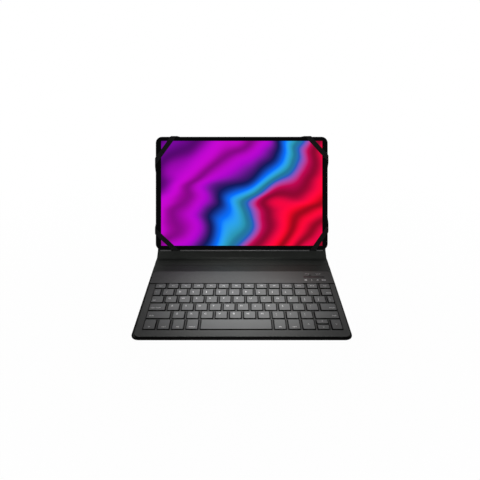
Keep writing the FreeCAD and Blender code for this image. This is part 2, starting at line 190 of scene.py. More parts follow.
def roundedSlab(name, low, high, corners, rimLow, rimHigh):
    # corners: radius at the low-Y end and at the high-Y end; rims: (width, segments) below and above
    obj = addBlock(name, low, high)
    for radius, end in zip(corners, (low.y, high.y)):
        if radius > 0:
            bevelEdges(obj, lambda a, b: near(a.y, end) and near(b.y, end) and not near(a.z, b.z), radius, cornerCuts)
    for rim, level in ((rimLow, low.z), (rimHigh, high.z)):
        if rim[0] > 0:
            bevelEdges(obj, edgesAt(level), *rim)
    smooth(obj)
    return obj


def joinPieces(name, pieces):
    bpy.ops.object.select_all(action="DESELECT")
    for piece in pieces:
        piece.select_set(True)
    bpy.context.view_layer.objects.active = pieces[0]
    if len(pieces) > 1:
        bpy.ops.object.join()
    return nameAs(bpy.context.object, name)


def copyPiece(source, name, place):
    obj = source.copy()
    obj.data = source.data.copy()
    bpy.context.scene.collection.objects.link(obj)
    obj.data.transform(place)
    return nameAs(obj, name)


merging = {"weld": 0.002 * mm, "flat": math.radians(1)}


def mergedCopy(node, name):  # a node's shape as an editable piece
    obj = copyPiece(nodes[node], name, Matrix())
    obj.parent = None
    for key in list(obj.keys()):
        del obj[key]
    editAll(obj)
    bpy.ops.mesh.remove_doubles(threshold=merging["weld"])
    bpy.ops.mesh.dissolve_limited(angle_limit=merging["flat"])
    leaveEdit()
    return obj


def applyModifier(obj, kind, **settings):
    pickOnly(obj)
    modifier = obj.modifiers.new(kind.lower(), kind)
    setAll(modifier, settings)
    bpy.ops.object.modifier_apply(modifier=modifier.name)


def softenEdges(obj, width, segments=2, sharp=40, shade=40):
    applyModifier(obj, "BEVEL", width=width, segments=segments, limit_method="ANGLE",
                  angle_limit=math.radians(sharp), use_clamp_overlap=True)
    smooth(obj, shade)
    return obj


def mapUv(obj, place):  # place turns a spot of the mesh into a spot of its texture
    layer = obj.data.uv_layers.active.data
    for loop in obj.data.loops:
        layer[loop.index].uv = place(obj.data.vertices[loop.vertex_index].co)


def coverWith(obj, *finishes):
    obj.data.materials.clear()
    for finish in finishes:
        obj.data.materials.append(materials[finish])


def paintFaces(obj, test):  # gives the second finish to the faces that pass
    for face in obj.data.polygons:
        face.material_index = int(test(face))


def finishPiece(obj, finish, body, slot, *replaced):
    coverWith(obj, *([finish] if isinstance(finish, str) else finish))
    if body:
        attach(obj, body)
    if replaced:
        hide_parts(*replaced)


# Shader groups that several finishes share
def feed(tree, node, values):  # each input gets a constant or another node's output
    for key, value in values.items():
        if isinstance(value, bpy.types.NodeSocket):
            tree.links.new(value, node.inputs[key])
        else:
            node.inputs[key].default_value = value


def newGroup(name, values, results):
    group = bpy.data.node_groups.new(name, "ShaderNodeTree")
    addSocket = group.interface.new_socket
    addSocket("Vector", in_out="INPUT", socket_type="NodeSocketVector")
    for label, value in values.items():
        addSocket(label, in_out="INPUT", socket_type="NodeSocketFloat").default_value = value
    for label in results:
        addSocket(label, in_out="OUTPUT", socket_type="NodeSocketFloat")
    return group, group.nodes.new("NodeGroupInput").outputs, group.nodes.new("NodeGroupOutput")


def addNode(tree, kind, values=None, **settings):
    node = tree.nodes.new(kind)
    setAll(node, settings)
    feed(tree, node, values or {})
    return node


def mathNode(tree, operation, *values):
    return addNode(tree, "ShaderNodeMath", dict(enumerate(values)), operation=operation).outputs[0]


def rangeNode(tree, value, *span):  # span: from low, from high, to low, to high
    return addNode(tree, "ShaderNodeMapRange", dict(enumerate((value, *span)))).outputs[0]


def inputNames(values):
    return {name.capitalize(): value for name, value in values.items()}


def noiseNode(tree, place, **values):
    return addNode(tree, "ShaderNodeTexNoise", {"Vector": place, **inputNames(values)}).outputs


def waveNode(tree, value, rate):
    return mathNode(tree, "SINE", mathNode(tree, "MULTIPLY", value, rate))


def vectorNode(tree, operation, values):
    return addNode(tree, "ShaderNodeVectorMath", values, operation=operation).outputs


def splitNode(tree, vector):
    return addNode(tree, "ShaderNodeSeparateXYZ", {0: vector}).outputs


def makeLeatherGrain():
    group, entry, out = newGroup("leatherGrain", {"Pebble": 1400.0}, ("Height", "Tone"))
    warp = noiseNode(group, entry["Vector"], scale=420.0, detail=2.0)["Color"]
    bent = vectorNode(group, "SCALE", {0: warp, "Scale": 0.0007})[0]
    shifted = vectorNode(group, "ADD", {0: entry["Vector"], 1: bent})[0]
    cells = addNode(group, "ShaderNodeTexVoronoi", feature="DISTANCE_TO_EDGE")
    feed(group, cells, {"Vector": shifted, "Scale": entry["Pebble"]})
    pebble = rangeNode(group, cells.outputs["Distance"], 0.0, 0.28, 0.0, 1.0)
    patches = noiseNode(group, entry["Vector"], scale=38.0, detail=4.0, roughness=0.6)["Fac"]
    patchy = mathNode(group, "MULTIPLY", patches, 0.65)
    feed(group, out, {"Height": pebble, "Tone": mathNode(group, "MULTIPLY_ADD", pebble, 0.35, patchy)})
    return group


def makeMouldedSpeck():
    group, entry, out = newGroup("mouldedSpeck", {"Speck": 3800.0}, ("Height", "Tone", "Handling"))
    speck = noiseNode(group, entry["Vector"], scale=entry["Speck"], detail=3.0, roughness=0.65)["Fac"]
    cloud = noiseNode(group, entry["Vector"], scale=24.0, detail=3.0, distortion=0.6)["Fac"]
    tone = mathNode(group, "MULTIPLY_ADD", speck, 0.6, mathNode(group, "MULTIPLY", cloud, 0.4))
    feed(group, out, {"Height": speck, "Tone": tone, "Handling": rangeNode(group, cloud, 0.3, 0.7, 0.0, 1.0)})
    return group


def makeEdgeWear():
    group, entry, out = newGroup("edgeWear", {"Amount": 0.5}, ("Mask",))
    pointed = addNode(group, "ShaderNodeNewGeometry").outputs["Pointiness"]
    scuffs = noiseNode(group, entry["Vector"], scale=260.0, detail=5.0, roughness=0.7)["Fac"]
    ridge = rangeNode(group, pointed, 0.52, 0.62, 0.0, 1.0)
    rubbed = mathNode(group, "MULTIPLY", ridge, rangeNode(group, scuffs, 0.4, 0.7, 0.0, 1.0))
    feed(group, out, {"Mask": mathNode(group, "MULTIPLY", rubbed, entry["Amount"])})
    return group


def makeElasticRib():
    group, entry, out = newGroup("elasticRib", {"Ribs": 9.0, "Picks": 900.0}, ("Height", "Tone"))
    parts = splitNode(group, entry["Vector"])
    along = waveNode(group, parts["X"], entry["Picks"])
    across = waveNode(group, parts["Y"], mathNode(group, "MULTIPLY", entry["Ribs"], 2 * math.pi))
    woven = mathNode(group, "MULTIPLY_ADD", along, 0.45, mathNode(group, "ABSOLUTE", across))
    feed(group, out, {"Height": woven, "Tone": rangeNode(group, woven, -0.4, 1.4, 0.0, 1.0)})
    return group


groups = {"grain": makeLeatherGrain(), "speck": makeMouldedSpeck(), "wear": makeEdgeWear(), "rib": makeElasticRib()}
print("shader groups ready")


# Materials
def startMaterial(name, coordinate="Object"):
    material = bpy.data.materials.new(name)
    material.use_nodes = True
    tree = material.node_tree
    shader = tree.nodes["Principled BSDF"]
    place = addNode(tree, "ShaderNodeTexCoord").outputs[coordinate]
    return material, tree, shader, place


def groupNode(tree, kind, place, **values):
    return addNode(tree, "ShaderNodeGroup", {"Vector": place, **inputNames(values)}, node_tree=groups[kind]).outputs


def mixColours(tree, factor, dark, light):
    ends = [(*colour, 1.0) if isinstance(colour, tuple) else colour for colour in (dark, light)]
    return addNode(tree, "ShaderNodeMix", {"Factor": factor, 6: ends[0], 7: ends[1]}, data_type="RGBA").outputs[2]


def bumpNode(tree, height, strength, distance):
    values = {"Height": height, "Strength": strength, "Distance": distance}
    return addNode(tree, "ShaderNodeBump", values).outputs["Normal"]


def insideBox(tree, values, low, high):  # 1 where every value lies between its limits
    inside = None
    for value, start, end in zip(values, low, high):
        off = mathNode(tree, "ABSOLUTE", mathNode(tree, "SUBTRACT", value, (start + end) / 2))
        within = mathNode(tree, "LESS_THAN", off, (end - start) / 2)
        inside = within if inside is None else mathNode(tree, "MULTIPLY", inside, within)
    return inside


grainKinds = {  # input that scales the grain, output that varies the roughness, its span, depth of the bump
    "grain": ("pebble", "Tone", (0.2, 0.8), 0.12 * mm),
    "speck": ("speck", "Handling", (0.0, 1.0), 0.05 * mm),
}


def grainMaterial(kind, name, dark, light, worn, scale, strength, rough, wear, gloss):
    material, tree, shader, place = startMaterial(name)
    scaled, varied, span, depth = grainKinds[kind]
    grain = groupNode(tree, kind, place, **{scaled: scale})
    rubbed = groupNode(tree, "wear", place, amount=wear)["Mask"]
    toned = mixColours(tree, grain["Tone"], dark, light)
    feed(tree, shader, {"Base Color": mixColours(tree, rubbed, toned, worn), "Specular IOR Level": gloss,
                        "Roughness": rangeNode(tree, grain[varied], *span, *rough),
                        "Normal": bumpNode(tree, grain["Height"], strength, depth)})
    return material


def coatedMaterial(name, finish):
    # the plastic's own grey on the tops, with painted shade on the walls: steeper faces turn near black
    material = grainMaterial("speck", name, *(finish[key] for key in (
        "dark", "light", "worn", "scale", "strength", "rough", "wear", "gloss")))
    tree = material.node_tree
    shader = tree.nodes["Principled BSDF"]
    places = addNode(tree, "ShaderNodeTexCoord").outputs
    # painted shade: the share of the plastic's own colour falls with the slope of the face
    unshadedShare = rangeNode(tree, splitNode(tree, places["Normal"])["Z"], *finish["edge"], 0.0, 1.0)
    if "web" in finish:  # painted shade on the web between the keys, pulling it towards the near black wall colour
        inside = insideBox(tree, splitNode(tree, places["Object"]), *finish["web"])
        unshadedShare = mathNode(tree, "MULTIPLY", unshadedShare, rangeNode(tree, inside, 0.0, 1.0, 1.0, finish["webCoat"]))
    ownColour = shader.inputs["Base Color"].links[0].from_socket
    feed(tree, shader, {"Base Color": mixColours(tree, unshadedShare, finish["body"], ownColour)})
    return material


def metalMaterial(name, dark, light, rough):
    material, tree, shader, place = startMaterial(name)
    grain = groupNode(tree, "speck", place, speck=2600.0)
    feed(tree, shader, {"Base Color": mixColours(tree, grain["Tone"], dark, light), "Metallic": 1.0,
                        "Roughness": rangeNode(tree, grain["Handling"], 0.0, 1.0, *rough)})
    return material


def elasticMaterial():
    material, tree, shader, place = startMaterial("wovenElastic", "UV")
    rib = groupNode(tree, "rib", place, ribs=5.0, picks=60.0)
    feed(tree, shader, {"Base Color": mixColours(tree, rib["Tone"], grey(0.003), (0.014, 0.014, 0.015)),
                        "Roughness": 0.8, "Specular IOR Level": 0.12, "Sheen Weight": 0.04,
                        "Normal": bumpNode(tree, rib["Height"], 0.5, 0.12 * mm)})
    return material


def grey(value):
    return (value,) * 3


# body: near black painted shade on the cap walls; edge: the slopes over which the grey gives way to it
capFinishAndShade = {"dark": (0.090, 0.092, 0.091), "light": (0.145, 0.148, 0.146), "worn": grey(0.2), "body": grey(0.001),
             "edge": (0.55, 0.95), "scale": 4200.0, "strength": 0.30, "rough": (0.44, 0.56), "wear": 0.4, "gloss": 0.03}
fieldLow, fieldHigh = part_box("left_modifier_keys")[0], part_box("function_keys")[1]
# body: near black painted shade on the casing walls; web and its share: painted shade between the keys
casingFinishAndShade = {"dark": (0.054, 0.0551, 0.0535), "light": (0.092, 0.0938, 0.0912), "worn": grey(0.10),
                "body": grey(0.001), "edge": (0.15, 0.45), "scale": 3600.0, "strength": 0.35, "rough": (0.42, 0.52),
                "wear": 0.4, "gloss": 0.03, "web": (fieldLow[:2], fieldHigh[:2]), "webCoat": 0.85}
screenArt = {
    "bands": [(0.0, (0.08, 0.0, 0.16)), (0.13, (0.24, 0.0, 0.42)), (0.26, (0.68, 0.0, 0.68)),
              (0.35, (0.36, 0.0, 0.52)), (0.41, (0.01, 0.02, 0.28)), (0.47, (0.0, 0.14, 0.85)),
              (0.53, (0.05, 0.66, 1.0)), (0.58, (0.02, 0.12, 0.62)), (0.64, (0.62, 0.0, 0.10)),
              (0.78, (0.95, 0.0, 0.02)), (1.0, (0.72, 0.0, 0.05))],
    "borders": (0.0302, 0.0350), "glow": 0.95, "gloss": 0.03, "rough": (0.06, 0.13),
    "across": 0.72, "upward": -0.34, "drift": 0.55, "start": 0.03, "swells": 46.0, "shade": (0.40, 1.20),
}


def screenMaterial():
    # rolling diagonal swells of colour behind black-bordered glass
    material, tree, shader, place = startMaterial("litScreen", "UV")
    art = screenArt
    across, upward, _ = splitNode(tree, place)
    drift = noiseNode(tree, place, scale=1.7, detail=1.5, distortion=0.4)["Fac"]
    bent = mathNode(tree, "MULTIPLY", drift, art["drift"])
    for value, share in ((upward, art["upward"]), (across, art["across"])):
        bent = mathNode(tree, "MULTIPLY_ADD", value, share, bent)
    ramp = addNode(tree, "ShaderNodeValToRGB", {"Fac": mathNode(tree, "ADD", bent, art["start"])})
    stops = ramp.color_ramp.elements
    while len(stops) < len(art["bands"]):
        stops.new(0.5)
    for stop, (where, colour) in zip(stops, art["bands"]):
        stop.position = where
        stop.color = (*colour, 1.0)
    folds = rangeNode(tree, waveNode(tree, bent, art["swells"]), -1.0, 1.0, *art["shade"])
    inside = insideBox(tree, (across, upward), art["borders"], [1.0 - border for border in art["borders"]])
    shown = ramp.outputs["Color"]
    for share in (folds, inside):
        shown = vectorNode(tree, "SCALE", {0: shown, "Scale": share})[0]
    smears = noiseNode(tree, place, scale=6.0, detail=4.0)["Fac"]
    feed(tree, shader, {"Base Color": mixColours(tree, smears, grey(0.002), (0.004, 0.004, 0.005)),
                        "Roughness": rangeNode(tree, smears, 0.3, 0.7, *art["rough"]),
                        "Specular IOR Level": art["gloss"], "Emission Color": shown, "Emission Strength": art["glow"]})
    return material


leathers = {  # material's name, dark, light, worn, grain, bump, roughness, wear and gloss
    "leather": ("caseLeather", grey(0.003), grey(0.010), grey(0.024), 1100.0, 0.75, (0.62, 0.46), 0.6, 0.02),
    "lining": ("liningLeather", (0.0175, 0.0189, 0.0175), (0.0360, 0.0390, 0.0354), grey(0.06),
               1700.0, 0.30, (0.62, 0.50), 0.6, 0.14),
}
plastics = {
    "legend": ("legendPaint", grey(0.50), grey(0.62), grey(0.7), 5200.0, 0.10, (0.5, 0.6), 0.0, 0.3),
    "ledge": ("ledgePlastic", (0.10, 0.10, 0.102), (0.15, 0.15, 0.152), grey(0.2), 3600.0, 0.3, (0.4, 0.5), 0.4, 0.3),
    "window": ("smokedWindow", (0.006, 0.006, 0.007), (0.012, 0.012, 0.013), grey(0.03),
               900.0, 0.02, (0.10, 0.18), 0.1, 0.12),
    "thread": ("blackThread", grey(0.020), grey(0.055), grey(0.06), 6500.0, 0.6, (0.6, 0.75), 0.0, 0.3),
    "board": ("stiffBoard", (0.28, 0.24, 0.19), (0.40, 0.35, 0.28), (0.5, 0.45, 0.4),
              1500.0, 0.5, (0.8, 0.9), 0.1, 0.3),
    "film": ("smokedFilm", (0.010, 0.011, 0.011), (0.022, 0.024, 0.023), grey(0.03),
             900.0, 0.05, (0.3, 0.4), 0.0, 0.2),
    "rubber": ("domeRubber", grey(0.26), grey(0.34), grey(0.4), 2400.0, 0.2, (0.7, 0.8), 0.0, 0.3),
    "white": ("whiteMoulding", (0.66, 0.66, 0.64), (0.78, 0.78, 0.76), grey(0.8), 3000.0, 0.2, (0.4, 0.5), 0.0, 0.3),
    "circuit": ("solderMask", (0.015, 0.10, 0.045), (0.04, 0.19, 0.09), (0.5, 0.4, 0.1),
                1800.0, 0.2, (0.3, 0.4), 0.3, 0.3),
    "lamp": ("lampLens", (0.70, 0.72, 0.70), (0.85, 0.87, 0.85), grey(0.9), 900.0, 0.05, (0.1, 0.2), 0.0, 0.3),
}
metals = {  # material's name, dark, light and roughness
    "shell": ("darkAnodised", (0.05, 0.05, 0.055), (0.08, 0.08, 0.085), (0.34, 0.44)),
    "steel": ("bareSteel", (0.45, 0.45, 0.46), (0.62, 0.62, 0.63), (0.25, 0.38)),
    "pouch": ("foilPouch", (0.50, 0.51, 0.53), (0.66, 0.67, 0.69), (0.35, 0.5)),
}
materials = {"casing": coatedMaterial("casingPlastic", casingFinishAndShade), "keys": coatedMaterial("keyPlastic", capFinishAndShade),
             "elastic": elasticMaterial(), "screen": screenMaterial()}
materials.update((key, grainMaterial("grain", *finish)) for key, finish in leathers.items())
materials.update((key, grainMaterial("speck", *finish)) for key, finish in plastics.items())
materials.update((key, metalMaterial(*finish)) for key, finish in metals.items())
print("materials ready:", len(materials))


# Nodes that keep their own shape, inside the leaves, the keyboard and the tablet
keptFinish = {
    "board": ["base_board", "spine_board", "panel_board", "kickstand_board"],
    "steel": ["base_magnets", "catch_plates", "cover_screws", "charging_socket"],
    # the key support plate takes the black thread finish as painted shade: its steel would show bright between the caps
    "thread": ["key_support_plate"], "film": ["key_membrane"],
    "circuit": ["main_circuit_board", "tablet_circuit_board"],
    "pouch": ["keyboard_battery", "tablet_battery"], "lamp": ["indicator_leds"],
    "window": ["indicator_window", "tablet_display"],
}
for finish, names in keptFinish.items():
    for name in names:
        coverWith(nodes[name], finish)


# Base leaf: hemmed leather tray with the lining let into it
baseLeaf = {"corner": 9 * mm, "rim": (0.7 * mm, 3), "hemWidth": 1.6 * mm, "hemStep": 0.25 * mm,
            "hemRim": (0.35 * mm, 3), "rearOverlap": 6 * mm}
coverLow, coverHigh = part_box("base_outer_cover")
keyboardLow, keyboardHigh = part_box("keyboard_top_cover")
flapStart = keyboardHigh.y - baseLeaf["rearOverlap"]


def makeBaseLeaf():
    low, high = coverLow.copy(), Vector((coverHigh.x, flapStart, coverHigh.z))
    obj = roundedSlab("baseCover", low, high, (baseLeaf["corner"], 0), baseLeaf["rim"], (0, 0))
    editFaces(obj, lambda face: face.normal.z > flatFace and near(face.center.z, high.z, loose))
    bpy.ops.mesh.inset(thickness=baseLeaf["hemWidth"])
    bpy.ops.transform.translate(value=(0, 0, -baseLeaf["hemStep"]))
    leaveEdit()
    bevelEdges(obj, edgesAt(high.z, loose), *baseLeaf["hemRim"])
    smooth(obj)
    finishPiece(obj, ("leather", "lining"), "base", "leather", "base_outer_cover", "base_lining")
    paintFaces(obj, lambda face: near(face.center.z, high.z - baseLeaf["hemStep"], loose))


makeBaseLeaf()
print("base leaf made")


# Leather across the two folds, thinner at each crease
foldFlap = {"cuts": 46, "baseCrease": 0.6 * mm, "panelCrease": 0.3 * mm, "creaseReach": 3.2 * mm,
            "edgeRim": (0.45 * mm, 2), "bendRadius": 7.0 * mm, "panelOverlap": 13.5 * mm, "baseBend": 5 * mm,
            "panelBend": (4 * mm, 5 * mm), "outside": Vector((0, 0.6, -0.8)), "turned": 0.3, "shade": 50}
leafThick = coverHigh.z - coverLow.z


def makeStrip(name, length, cuts):  # a bar of unit height along Y that later follows a path
    obj = addBlock(name, Vector((-0.5, 0, 0)), Vector((0.5, length, 1)))
    editEdges(obj, lambda a, b: near(a.x, b.x) and near(a.z, b.z))
    bpy.ops.mesh.subdivide(number_cuts=cuts)
    leaveEdit()
    return obj


def layStrip(obj, path, width, thick, side=0.0):
    # path gives a point and its outward normal; width and thick vary along the way; side is the level that lies on it
    for vertex in obj.data.vertices:
        across, way, level = vertex.co
        point, normal = path(way)
        spot = point + normal * ((level - side) * thick(way))
        vertex.co = Vector((across * width(way), spot.y, spot.z))


def bendStrip(obj, path, width, thick):
    rims = iter([near(a.x, b.x) and near(a.z, b.z) for a, b in edgeEnds(obj)])
    layStrip(obj, path, width, thick)
    bevelEdges(obj, lambda a, b: next(rims), *foldFlap["edgeRim"])
    smooth(obj, foldFlap["shade"])


def dressFlap(obj, *replaced):  # lining inside, case leather on the face turned to the floor or the back
    finishPiece(obj, ("lining", "leather"), None, "lining", *replaced)
    paintFaces(obj, lambda face: face.normal.dot(foldFlap["outside"]) > foldFlap["turned"])


def crease(way, where, depth):
    return depth * math.exp(-((way - where) / foldFlap["creaseReach"]) ** 2)


def makeBaseFlap():
    length = (foldA.y + foldB.y) / 2 - flapStart
    obj = makeStrip("baseFlap", length, foldFlap["cuts"])
    width = coverHigh.x - coverLow.x
    bendStrip(obj, lambda way: (Vector((0, flapStart + way, 0)), Vector((0, 0, 1))), lambda way: width,
              lambda way: leafThick - crease(way, foldA.y - flapStart, foldFlap["baseCrease"]))
    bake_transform(obj)
    dressFlap(obj, "base_fold_hinge", "spine_outer_cover", "spine_lining")


def makePanelFlap():
    start = (foldA.y + foldB.y) / 2
    skinHalf = foldB.z
    turn = foldFlap["bendRadius"] * math.tan(panelRise / 2)
    corner = foldB.y + skinHalf * math.tan(panelRise / 2)
    flat = corner - turn - start
    arc = foldFlap["bendRadius"] * panelRise
    length = flat + arc + foldFlap["panelOverlap"] - turn
    centre = Vector((0, corner - turn, foldFlap["bendRadius"]))

    def path(way):
        if way <= flat:
            return Vector((0, start + way, 0)), Vector((0, 0, 1))
        angle = min((way - flat) / foldFlap["bendRadius"], panelRise)
        normal = Vector((0, -math.sin(angle), math.cos(angle)))
        point = centre - normal * foldFlap["bendRadius"]
        rest = way - flat - arc
        if rest > 0:
            point = point + Vector((0, math.cos(panelRise), math.sin(panelRise))) * rest
        return point, normal

    wide, narrow = coverHigh.x - coverLow.x, 2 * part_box("panel_outer_cover")[1].x
    obj = makeStrip("panelFlap", length, foldFlap["cuts"])
    bendStrip(obj, path, lambda way: wide + (narrow - wide) * max((way - flat) / (length - flat), 0.0),
              lambda way: leafThick - crease(way, flat + arc / 2, foldFlap["panelCrease"]))
    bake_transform(obj)
    dressFlap(obj, "panel_fold_hinge")


makeBaseFlap()
makePanelFlap()
print("fold leather made")


# Stitching: one stitch, copied along straight runs
stitching = {"length": 3.0 * mm, "gap": 1.3 * mm, "width": 0.55 * mm, "proud": 0.16 * mm}


def makeStitch():
    stitch = addShape(bpy.ops.mesh.primitive_uv_sphere_add, segments=8, ring_count=5, radius=0.5)
    stitch.scale = (stitching["length"], stitching["width"], 2 * stitching["proud"])
    bpy.ops.object.transform_apply(scale=True)
    smooth(stitch, 180)
    return stitch


def stitchRuns(name, runs, level, place):
    stitch = makeStitch()
    copies = []
    step = stitching["length"] + stitching["gap"]
    for start, end in runs:
        run = Vector(end) - Vector(start)
        count = max(int(run.length / step), 1)
        turn = math.atan2(run.y, run.x)
        for number in range(count):
            spot = Vector(start) + run * ((number + 0.5) / count)
            local = Matrix.Translation((spot.x, spot.y, level)) @ Matrix.Rotation(turn, 4, "Z")
            copies.append(copyPiece(stitch, "stitch", place @ local))
    bpy.data.objects.remove(stitch)
    return joinPieces(name, copies)


def stitchEdges(name, low, high, start, shape, level, place, body):  # up both sides and across the far end
    inset, cut = shape["stitchInset"], shape["corner"]
    left, right, far = low.x + inset, high.x - inset, high.y - inset
    runs = [((side, start + inset), (side, far - cut)) for side in (left, right)]
    runs.append(((left + cut, far), (right - cut, far)))
    finishPiece(stitchRuns(name, runs, level, place), "thread", body, "leather")


def makeLeaf(name, low, high, shape, place, body, *replaced):
    obj = roundedSlab(name, low, high, (0, shape["corner"]), shape["rim"], shape["rim"])
    finishPiece(settle(obj, place), "leather", body, "leather", *replaced)


# Back panel: hemmed leather board leaning behind the tablet
backPanel = {"corner": 9 * mm, "rim": (0.8 * mm, 3), "start": 13 * mm, "stitchInset": 4 * mm}


def makeBackPanel():
    low, high = spanOf("panel_outer_cover", panelFrame)
    low.y = backPanel["start"]
    makeLeaf("panelCover", low, high, backPanel, panelFrame, "back_panel", "panel_outer_cover", "panel_lining")
    stitchEdges("panelStitching", low, high, low.y, backPanel, low.z, panelFrame, "back_panel")


makeBackPanel()
print("back panel made")


# Kickstand flap and the strip that hinges it
kickFlap = {"corner": 6 * mm, "rim": (0.42 * mm, 3), "stitchInset": 3.5 * mm, "hingeDown": 9 * mm,
            "hingeThick": 0.55 * mm, "hingeSet": 0.25 * mm, "hingeCuts": 24, "bend": 1.6 * mm}


def makeKickstand():
    skins = ("kickstand_inner_skin", "kickstand_outer_skin")
    low, high = spanOf(skins[0], kickFrame)[0], spanOf(skins[1], kickFrame)[1]
    makeLeaf("kickstandFlap", low, high, kickFlap, kickFrame, "kickstand", *skins)
    stitchEdges("kickstandStitching", low, high, kickFlap["hingeDown"], kickFlap, high.z, kickFrame, "kickstand")


def makeKickHinge():
    low, high = spanOf("kickstand_hinge", panelFrame)
    _, flapHigh = spanOf("kickstand_outer_skin", kickFrame)
    pivot = panelFrame.inverted() @ kickPivot
    lead = high.y - pivot.y  # glued to the panel above the pivot, then turning with the flap below it
    length = lead + kickFlap["hingeDown"]
    outer = low.z - pivot.z + kickFlap["hingeSet"]
    swing = math.pi - panelRise - kickSlope
    reach = flapHigh.z
    obj = makeStrip("kickstandHinge", length, kickFlap["hingeCuts"])

    def path(way):
        beyond = way - lead
        blend = min(max((beyond + kickFlap["bend"]) / (2 * kickFlap["bend"]), 0.0), 1.0)
        angle = swing * blend * blend * (3 - 2 * blend)
        offset = outer + (-reach - kickFlap["hingeThick"] / 2 - outer) * blend
        down = Vector((0, -math.cos(angle), -math.sin(angle)))
        out = Vector((0, math.sin(angle), -math.cos(angle)))
        local = Vector((0, pivot.y, pivot.z)) + down * beyond + out * (-offset)
        normal = (panelFrame.to_3x3() @ out).normalized()
        return panelFrame @ local, normal

    layStrip(obj, path, lambda way: high.x - low.x, lambda way: kickFlap["hingeThick"], 0.5)
    smooth(obj, foldFlap["shade"])
    editAll(obj)
    bpy.ops.mesh.normals_make_consistent(inside=False)
    leaveEdit()
    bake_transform(obj)
    finishPiece(obj, "leather", None, "leather", "kickstand_hinge")


makeKickstand()
makeKickHinge()
print("kickstand made")


# Elastic straps: a flat band folded round two edges of the tablet
strapShape = {"thick": 0.8 * mm, "wall": 0.76 * mm, "gap": 0.3 * mm, "backGap": 0.1 * mm, "fold": 1.1 * mm,
              "tail": 17 * mm, "spare": 1.3, "alongCuts": 90, "acrossCuts": 5, "width": 7.0 * mm,
              "rim": {"width": 0.22 * mm, "sharp": 60, "shade": 45}}
strapReach = {"top_left": (26.0, 36.0), "top_right": (28.5, 31.5), "bottom_left": (29.0, 27.0),
              "bottom_right": (21.5, 31.0)}
housingLow, housingHigh = spanOf("tablet_housing", panelFrame)
glassLow, glassHigh = spanOf("tablet_glass", panelFrame)
liningLevel = spanOf("panel_lining", panelFrame)[1].z


def foldOver(beyond, front, back):
    # where a band lies once it passes an edge: distance out of the edge, height above the panel
    radius = strapShape["fold"]
    out = strapShape["gap"] + strapShape["thick"] / 2
    bend = radius * math.pi / 2
    flat = radius - out
    if beyond <= -flat:
        return beyond, front
    way = beyond + flat
    if way <= bend:
        angle = way / radius
        return -flat + radius * math.sin(angle), front - radius * (1 - math.cos(angle))
    way -= bend
    drop = front - back - 2 * radius
    if way <= drop:
        return out, front - radius - way
    way -= drop
    if way <= bend:
        angle = way / radius
        return out - radius * (1 - math.cos(angle)), back + radius * (1 - math.sin(angle))
    return out - radius - (way - bend), back


def makeStrap(corner):
    along, down = (value * mm for value in strapReach[corner])
    front = glassHigh.z + strapShape["gap"] + strapShape["thick"] / 2
    back = liningLevel + strapShape["thick"] / 2 + strapShape["backGap"]
    length = math.hypot(along, down)
    wrap = front - back + strapShape["tail"]
    direction = Vector((along, -down)) / length
    sideways = Vector((direction.y, -direction.x))
    total = length + 2 * wrap * strapShape["spare"]
    obj = addShape(bpy.ops.mesh.primitive_grid_add, x_subdivisions=strapShape["alongCuts"],
                   y_subdivisions=strapShape["acrossCuts"], size=1)
    nameAs(obj, "strap_" + corner.replace("_", "") + "_band")
    mapUv(obj, lambda spot: (spot.x * total / strapShape["width"], spot.y + 0.5))
    signX = 1 if corner.endswith("right") else -1
    signY = 1 if corner.startswith("top") else -1
    edgeX = housingHigh.x if signX > 0 else housingLow.x
    edgeY = housingHigh.y if signY > 0 else housingLow.y
    for vertex in obj.data.vertices:
        way = (vertex.co.x + 0.5) * total - (total - length) / 2
        plan = Vector((0, down)) + direction * way + sideways * (vertex.co.y * strapShape["width"])
        spotP, spotQ, level = plan.x, plan.y, front
        if plan.y < plan.x:
            out, level = foldOver(-plan.y, front, back)
            spotQ = -out
        else:
            out, level = foldOver(-plan.x, front, back)
            spotP = -out
        vertex.co = Vector((edgeX - signX * spotP, edgeY - signY * spotQ, level))
    if signX * signY < 0:
        editAll(obj)
        bpy.ops.mesh.flip_normals()
        leaveEdit()
    applyModifier(obj, "SOLIDIFY", thickness=strapShape["wall"], offset=0)
    softenEdges(obj, **strapShape["rim"])
    finishPiece(settle(obj, panelFrame), "elastic", "back_panel", "elastic", "strap_" + corner)


for corner in strapReach:
    makeStrap(corner)
print("straps made")


# Stay ribbon between panel and kickstand: two halves that lie down on their own sides as the kickstand closes
ribbonShape = {"cuts": 15, "thick": 0.5 * mm, "folded": 0.004}


def makeRibbonHalf(name, start, end, width, body):
    run = end - start
    obj = makeStrip(name, run.length, ribbonShape["cuts"])
    along = run.normalized()
    normal = Vector((0, -along.z, along.y))
    layStrip(obj, lambda way: (start + along * way, normal), lambda way: width, lambda way: ribbonShape["thick"], 0.5)
    smooth(obj, foldFlap["shade"])
    mapUv(obj, lambda spot: ((spot - start).dot(along) / width, spot.x / width + 0.5))
    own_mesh(obj)
    finishPiece(obj, "elastic", body, "elastic", "stay_ribbon")


def makeRibbon():
    low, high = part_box("stay_ribbon")
    inside = panelFrame.inverted()
    ends = sorted((inside @ vertex.co for vertex in nodes["stay_ribbon"].data.vertices), key=lambda co: co.z)
    panelEnd, kickEnd = (panelFrame @ (sum(four, Vector()) / 4) for four in (ends[-4:], ends[:4]))
    panelEnd.x = kickEnd.x = (low.x + high.x) / 2
    middle = (panelEnd + kickEnd) / 2
    for name, end, body, place in (("ribbonPanelHalf", panelEnd, "back_panel", panelFrame),
                                   ("ribbonKickstandHalf", kickEnd, "kickstand", kickFrame)):
        makeRibbonHalf(name, end, middle, high.x - low.x, body)


makeRibbon()
print("ribbon made")


# Tablet: dark metal shell, black-bordered glass and the ledge under it
tabletShape = {"corner": 9 * mm, "glassCorner": 8.5 * mm, "backRim": (1.9 * mm, 5), "frontRim": (0.25 * mm, 2),
               "glassRim": (0.3 * mm, 3), "ledgeRim": 0.25 * mm}


